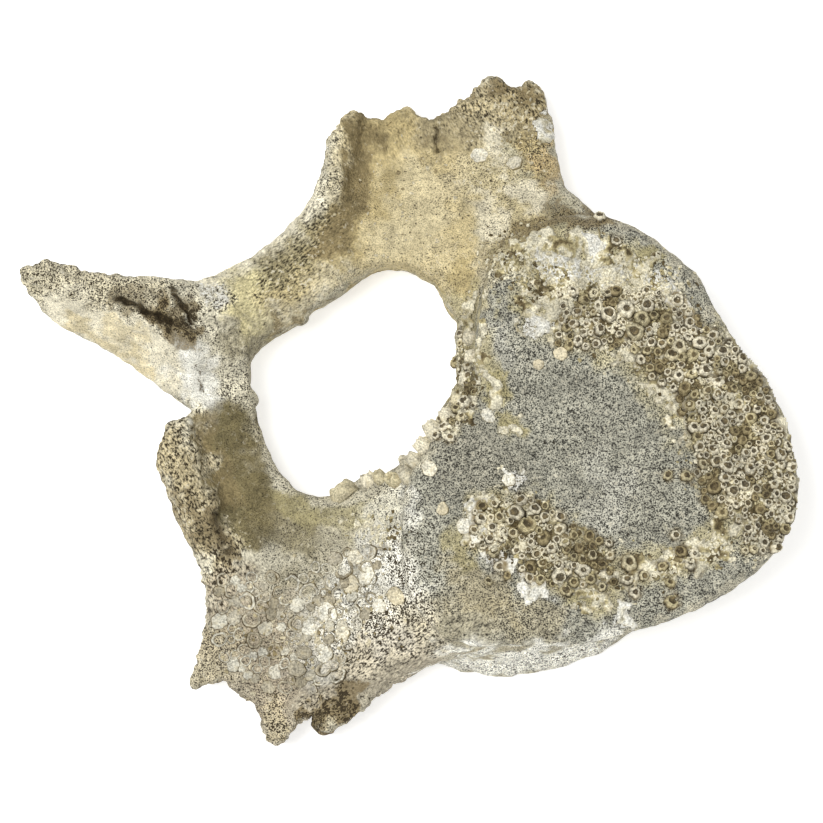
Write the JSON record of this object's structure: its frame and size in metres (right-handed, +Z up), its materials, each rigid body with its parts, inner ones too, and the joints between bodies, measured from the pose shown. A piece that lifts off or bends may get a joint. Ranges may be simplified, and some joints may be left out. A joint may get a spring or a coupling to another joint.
{
  "type": "fossil whale vertebra",
  "caption": "Weathered whale vertebra lying on the flat end of its centrum, with a wide neural canal, broken processes and a crust of barnacles.",
  "frame": {"origin": "middle of the flat lower end of the centrum, on the ground that the bone lies on", "axes": "+X from the neural canal to the belly side of the centrum, +Y to the right transverse process, +Z up out of the exposed end of the centrum"},
  "size_m": [0.4161, 0.3771, 0.0993],
  "materials": {
    "weathered_bone": "dry porous bone, stained golden and grey, matt"
  },
  "bodies": {
    "root": {"vertebra": "weathered_bone"}
  },
  "joints": []
}
